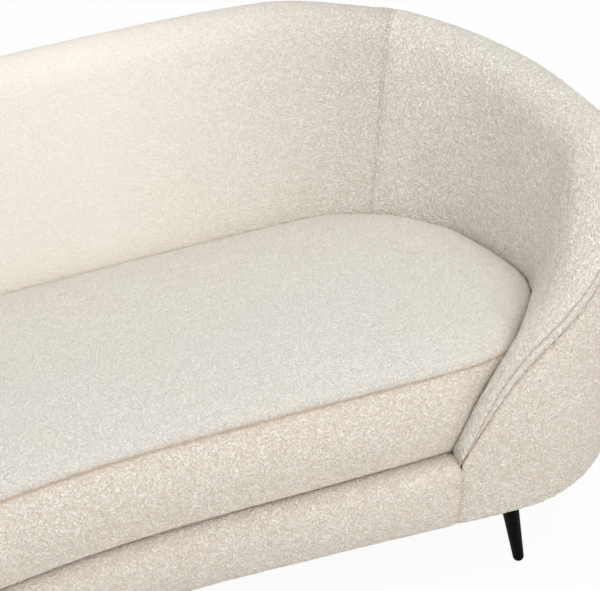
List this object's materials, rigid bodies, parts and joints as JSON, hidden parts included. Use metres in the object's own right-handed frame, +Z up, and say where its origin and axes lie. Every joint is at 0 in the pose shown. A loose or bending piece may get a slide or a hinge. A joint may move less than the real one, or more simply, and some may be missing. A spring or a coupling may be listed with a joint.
{
  "type": "curved sofa",
  "caption": "Curved sofa with a hollowed front, one padded shell that sweeps down from back to arms, a tight crowned seat and slim splayed legs.",
  "frame": {"origin": "on the floor, under the middle of the plan's length and depth", "axes": "+X along the length, to the right of a person who looks at the front; +Y from front to back; +Z up"},
  "size_m": [2.1746, 0.9108, 0.801],
  "materials": {
    "looped_fabric": "cream looped wool cloth, matte, with a short curled nap",
    "foam": "soft foam with a fibre layer",
    "frame_wood": "raw plywood and beech",
    "leg_wood": "satin lacquer, nearly black",
    "plated_steel": "zinc plated",
    "elastic_strap": "woven elastic webbing",
    "hessian": "plain woven jute",
    "dust_cloth": "black bonded cloth"
  },
  "bodies": {
    "root": {"leg_front_left": "leg_wood", "leg_front_right": "leg_wood", "leg_rear_left": "leg_wood", "leg_rear_right": "leg_wood", "leg_plates": "plated_steel", "leg_bolts": "plated_steel", "plate_screws": "plated_steel", "leg_block_front_left": "frame_wood", "leg_block_front_right": "frame_wood", "leg_block_rear_left": "frame_wood", "leg_block_rear_right": "frame_wood", "apron_board": "frame_wood", "ledge_board": "frame_wood", "front_rail": "frame_wood", "rear_board": "frame_wood", "end_board_left": "frame_wood", "end_board_right": "frame_wood", "cross_rail_outer_left": "frame_wood", "cross_rail_inner_left": "frame_wood", "cross_rail_inner_right": "frame_wood", "cross_rail_outer_right": "frame_wood", "rear_deck_rail": "frame_wood", "end_deck_rail_left": "frame_wood", "end_deck_rail_right": "frame_wood", "seat_straps": "elastic_strap", "cross_straps": "elastic_strap", "back_rib_centre": "frame_wood", "back_rib_left_1": "frame_wood", "back_rib_left_2": "frame_wood", "back_rib_right_1": "frame_wood", "back_rib_right_2": "frame_wood", "end_rib_left_1": "frame_wood", "end_rib_left_2": "frame_wood", "end_rib_right_1": "frame_wood", "end_rib_right_2": "frame_wood", "arm_rib_left_1": "frame_wood", "arm_rib_left_2": "frame_wood", "arm_rib_right_1": "frame_wood", "arm_rib_right_2": "frame_wood", "rim_rail_centre": "frame_wood", "rim_rail_left": "frame_wood", "rim_rail_right": "frame_wood", "back_hessian": "hessian", "seat_pad": "foam", "band_pad": "foam", "apron_pad": "foam", "back_pad": "foam", "wing_pad_left": "foam", "wing_pad_right": "foam", "seat_cover": "looped_fabric", "band_cover": "looped_fabric", "apron_cover": "looped_fabric", "inner_back_cover": "looped_fabric", "inner_wing_cover_left": "looped_fabric", "inner_wing_cover_right": "looped_fabric", "outer_back_cover": "looped_fabric", "side_cover_left": "looped_fabric", "side_cover_right": "looped_fabric", "dust_cover": "dust_cloth"}
  },
  "joints": []
}
